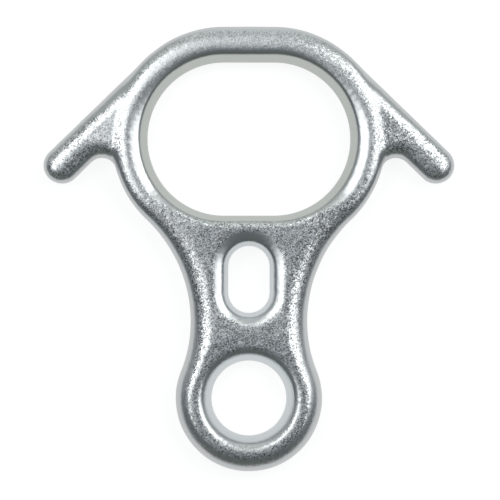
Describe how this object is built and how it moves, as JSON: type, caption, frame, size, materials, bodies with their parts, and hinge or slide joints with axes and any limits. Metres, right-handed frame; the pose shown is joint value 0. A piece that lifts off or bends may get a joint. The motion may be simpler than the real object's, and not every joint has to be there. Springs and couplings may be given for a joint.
{
  "type": "figure eight descender",
  "caption": "Forged aluminium figure eight descender with a wide rope opening, a slot, a carabiner eye and two swept-back ears.",
  "frame": {"origin": "centre of the outline's box, on the face that the part rests on", "axes": "+Y towards the large ring, +X across the ears, +Z through the thickness; the part lies flat"},
  "size_m": [0.1394, 0.1508, 0.014],
  "materials": {
    "forged_aluminium": "hot forged and tumbled, fine bright grain, smooth in the holes and along the trimmed edge"
  },
  "bodies": {
    "root": {"forged_body": "forged_aluminium"}
  },
  "joints": []
}
